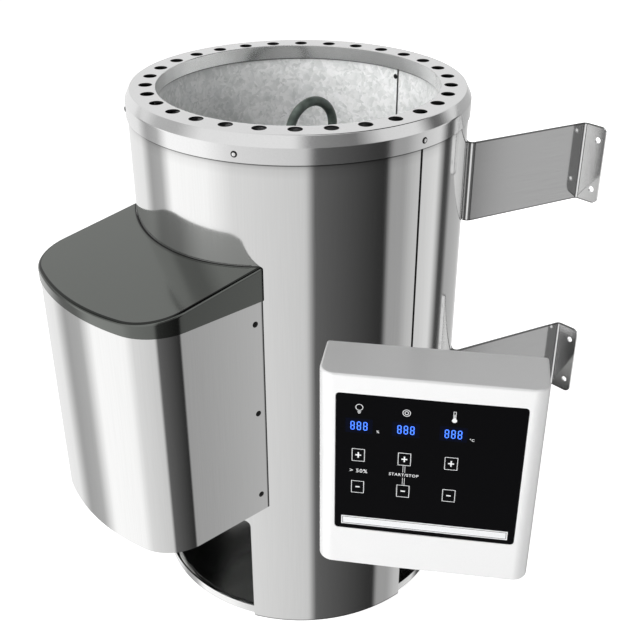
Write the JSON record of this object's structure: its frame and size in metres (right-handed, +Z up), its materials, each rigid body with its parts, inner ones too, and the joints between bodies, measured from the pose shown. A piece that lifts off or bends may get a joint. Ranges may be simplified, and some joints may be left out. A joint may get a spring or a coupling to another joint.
{
  "type": "sauna heater stove",
  "caption": "Round stainless electric sauna heater with vented top ring, stone chamber, hairpin elements, lidded connection box, wall brackets and its key-operated control unit.",
  "frame": {"origin": "on the axis of the drum, on the floor", "axes": "+Z up, -Y towards the connection box at the front, +Y towards the wall"},
  "size_m": [0.4634, 0.4818, 0.498],
  "materials": {
    "polished_steel": "mirror-polished sheet",
    "ring_steel": "satin pressed steel",
    "screw_steel": "plain",
    "bracket_steel": "satin",
    "galvanised_sheet": "galvanised spangle",
    "element_sheath": "oxidised, dark",
    "dark_steel": "dark heat-stained",
    "plain_sheet": "plain sheet",
    "lid_grey": "satin dark grey-green",
    "ceramic_white": "glazed ceramic",
    "button_red": "gloss",
    "black_plastic": "matt",
    "white_plastic": "gloss moulded",
    "black_glass": "dark gloss",
    "display_blue": "lit digits",
    "circuit_board": "solder mask"
  },
  "bodies": {
    "stove": {"base_pan": "polished_steel", "box_flange_left": "plain_sheet", "box_flange_right": "plain_sheet", "box_floor": "plain_sheet", "box_lid": "lid_grey", "box_screw_left_1": "screw_steel", "box_screw_left_2": "screw_steel", "box_screw_left_3": "screw_steel", "box_screw_right_1": "screw_steel", "box_screw_right_2": "screw_steel", "box_screw_right_3": "screw_steel", "box_wrap": "polished_steel", "bracket_lower": "bracket_steel", "bracket_screw_lower_left": "screw_steel", "bracket_screw_lower_right": "screw_steel", "bracket_screw_upper_left": "screw_steel", "bracket_screw_upper_right": "screw_steel", "bracket_upper": "bracket_steel", "cable_gland_control": "black_plastic", "cable_gland_supply": "black_plastic", "carrier_ring": "dark_steel", "collar_screw_1": "screw_steel", "collar_screw_2": "screw_steel", "collar_screw_3": "screw_steel", "collar_screw_4": "screw_steel", "collar_screw_5": "screw_steel", "collar_screw_6": "screw_steel", "control_board": "circuit_board", "control_body": "black_plastic", "control_hood": "white_plastic", "control_panel": "black_glass", "control_wall_plate": "plain_sheet", "display_heat": "display_blue", "display_light": "display_blue", "display_timer": "display_blue", "equipment_plate": "plain_sheet", "gland_locknut_control": "black_plastic", "gland_locknut_supply": "black_plastic", "heat_shield": "dark_steel", "heating_element_centre": "element_sheath", "heating_element_left": "element_sheath", "heating_element_right": "element_sheath", "limiter_nut": "plain_sheet", "liner": "galvanised_sheet", "power_board": "circuit_board", "shell_panel_front": "polished_steel", "shell_panel_left": "polished_steel", "shell_panel_rear": "polished_steel", "stone_grate": "dark_steel", "terminal_block": "ceramic_white", "thermal_limiter": "plain_sheet", "top_ring": "ring_steel"},
    "key_heat_minus": {"key_heat_minus": "black_glass"},
    "key_heat_plus": {"key_heat_plus": "black_glass"},
    "key_light_minus": {"key_light_minus": "black_glass"},
    "key_light_plus": {"key_light_plus": "black_glass"},
    "key_timer_minus": {"key_timer_minus": "black_glass"},
    "key_timer_plus": {"key_timer_plus": "black_glass"},
    "reset_button": {"reset_button": "button_red"}
  },
  "joints": [
    {"name": "press_heat_minus", "type": "slide", "parent": "stove", "child": "key_heat_minus", "axis": [-0.6293, 0.7771, 0], "range_m": [0, 0.0005], "stiffness_N_per_m": 600},
    {"name": "press_heat_plus", "type": "slide", "parent": "stove", "child": "key_heat_plus", "axis": [-0.6293, 0.7771, 0], "range_m": [0, 0.0005], "stiffness_N_per_m": 600},
    {"name": "press_light_minus", "type": "slide", "parent": "stove", "child": "key_light_minus", "axis": [-0.6293, 0.7771, 0], "range_m": [0, 0.0005], "stiffness_N_per_m": 600},
    {"name": "press_light_plus", "type": "slide", "parent": "stove", "child": "key_light_plus", "axis": [-0.6293, 0.7771, 0], "range_m": [0, 0.0005], "stiffness_N_per_m": 600},
    {"name": "press_timer_minus", "type": "slide", "parent": "stove", "child": "key_timer_minus", "axis": [-0.6293, 0.7771, 0], "range_m": [0, 0.0005], "stiffness_N_per_m": 600},
    {"name": "press_timer_plus", "type": "slide", "parent": "stove", "child": "key_timer_plus", "axis": [-0.6293, 0.7771, 0], "range_m": [0, 0.0005], "stiffness_N_per_m": 600},
    {"name": "press_reset", "type": "slide", "parent": "stove", "child": "reset_button", "axis": [0, 0, 1], "range_m": [0, 0.002], "stiffness_N_per_m": 400}
  ]
}
